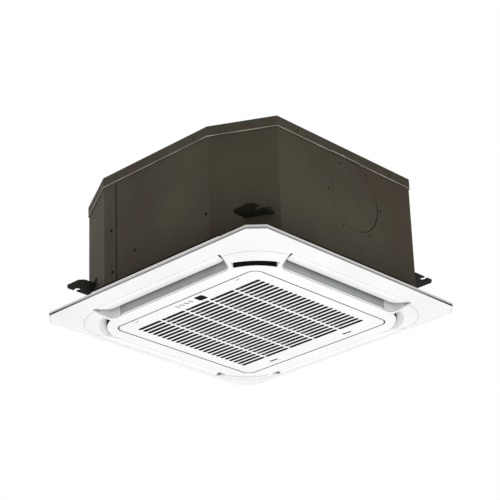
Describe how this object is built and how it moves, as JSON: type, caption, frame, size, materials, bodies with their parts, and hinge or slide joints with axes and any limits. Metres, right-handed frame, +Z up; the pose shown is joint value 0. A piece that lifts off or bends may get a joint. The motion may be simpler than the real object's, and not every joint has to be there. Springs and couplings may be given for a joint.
{
  "type": "cassette air conditioner",
  "caption": "Square ceiling cassette air conditioner: dark sheet-metal casing on corner hanging brackets, white panel with hinged slotted grille and a swinging air vane along each side.",
  "frame": {"origin": "centre of the four hanging-rod seats, on the underside plane of the corner brackets", "axes": "+Z up to the ceiling slab, -Y to the display side where the grille is hinged, +X to the wall with the fresh-air knock-out"},
  "size_m": [0.647, 0.647, 0.318],
  "materials": {
    "casing_sheet": "dull dark coated sheet",
    "bracket_steel": "dark coated steel",
    "zinc_steel": "zinc plated",
    "white_plastic": "fine satin grain",
    "dark_lens": "polished",
    "pale_lens": "polished",
    "circuit_board": "lacquered",
    "dark_plastic": "moulded",
    "filter_net": "fine net",
    "black_foam": "closed-cell foam",
    "white_foam": "expanded bead foam",
    "fin_aluminium": "bare fins",
    "copper": "drawn copper tube",
    "union_brass": "machined",
    "fan_plastic": "moulded",
    "motor_can": "resin coated",
    "rubber": "soft"
  },
  "bodies": {
    "casing": {"top_cover": "casing_sheet", "casing_front": "casing_sheet", "casing_rear": "casing_sheet", "hanger_bracket_1": "bracket_steel", "hanger_bracket_2": "bracket_steel", "hanger_bracket_3": "bracket_steel", "hanger_bracket_4": "bracket_steel", "panel_tabs": "bracket_steel", "cover_screws": "bracket_steel", "bracket_screws": "bracket_steel", "panel_screws": "zinc_steel", "panel_frame": "white_plastic", "corner_cover_1": "white_plastic", "corner_cover_2": "white_plastic", "corner_cover_3": "white_plastic", "corner_cover_4": "white_plastic", "vane_motor_front": "dark_plastic", "vane_motor_right": "dark_plastic", "vane_motor_back": "dark_plastic", "vane_motor_left": "dark_plastic", "panel_seal": "black_foam", "insulation_liner": "white_foam", "drain_pan": "white_foam", "bell_mouth": "dark_plastic", "control_box": "zinc_steel", "control_cover": "zinc_steel", "control_board": "circuit_board", "terminal_block": "dark_plastic", "drain_pump": "dark_plastic", "float_stem": "white_plastic", "drain_pipe": "dark_plastic", "coil": "fin_aluminium", "coil_end_plates": "zinc_steel", "gas_pipe": "copper", "liquid_pipe": "copper", "gas_union": "union_brass", "liquid_union": "union_brass", "fan_motor": "motor_can", "motor_bushes": "rubber", "wiring_grommet": "rubber"},
    "fan": {"fan_wheel": "fan_plastic", "fan_nut": "zinc_steel", "motor_shaft": "zinc_steel"},
    "front_vane": {"vane_front": "white_plastic"},
    "right_vane": {"vane_right": "white_plastic"},
    "back_vane": {"vane_back": "white_plastic"},
    "left_vane": {"vane_left": "white_plastic"},
    "grille": {"intake_grille": "white_plastic", "filter_frame": "dark_plastic", "filter_mesh": "filter_net", "receiver_lens": "dark_lens", "indicator_lenses": "pale_lens", "display_board": "circuit_board"},
    "left_latch": {"latch_left": "white_plastic"},
    "right_latch": {"latch_right": "white_plastic"},
    "float": {"float_ring": "white_plastic"},
    "pump_rotor": {"pump_impeller": "white_plastic"}
  },
  "joints": [
    {"name": "fan_spin", "type": "hinge", "parent": "casing", "child": "fan", "pos_m": [0, 0, 0.1], "axis": [0, 0, 1], "continuous": true},
    {"name": "front_vane_swing", "type": "hinge", "parent": "casing", "child": "front_vane", "pos_m": [0, -0.281, -0.07], "axis": [1, 0, 0], "range_deg": [0, 50]},
    {"name": "right_vane_swing", "type": "hinge", "parent": "casing", "child": "right_vane", "pos_m": [0.281, 0, -0.07], "axis": [0, 1, 0], "range_deg": [0, 50]},
    {"name": "back_vane_swing", "type": "hinge", "parent": "casing", "child": "back_vane", "pos_m": [0, 0.281, -0.07], "axis": [-1, 0, 0], "range_deg": [0, 50]},
    {"name": "left_vane_swing", "type": "hinge", "parent": "casing", "child": "left_vane", "pos_m": [-0.281, 0, -0.07], "axis": [0, -1, 0], "range_deg": [0, 50]},
    {"name": "grille_hinge", "type": "hinge", "parent": "casing", "child": "grille", "pos_m": [0, -0.202, -0.0925], "axis": [-1, 0, 0], "range_deg": [0, 45]},
    {"name": "left_latch_slide", "type": "slide", "parent": "grille", "child": "left_latch", "axis": [0, -1, 0], "range_m": [0, 0.006]},
    {"name": "right_latch_slide", "type": "slide", "parent": "grille", "child": "right_latch", "axis": [0, -1, 0], "range_m": [0, 0.006]},
    {"name": "float_lift", "type": "slide", "parent": "casing", "child": "float", "axis": [0, 0, 1], "range_m": [0, 0.022]},
    {"name": "pump_spin", "type": "hinge", "parent": "casing", "child": "pump_rotor", "pos_m": [-0.205, 0.185, 0.03], "axis": [0, 0, 1], "continuous": true}
  ]
}
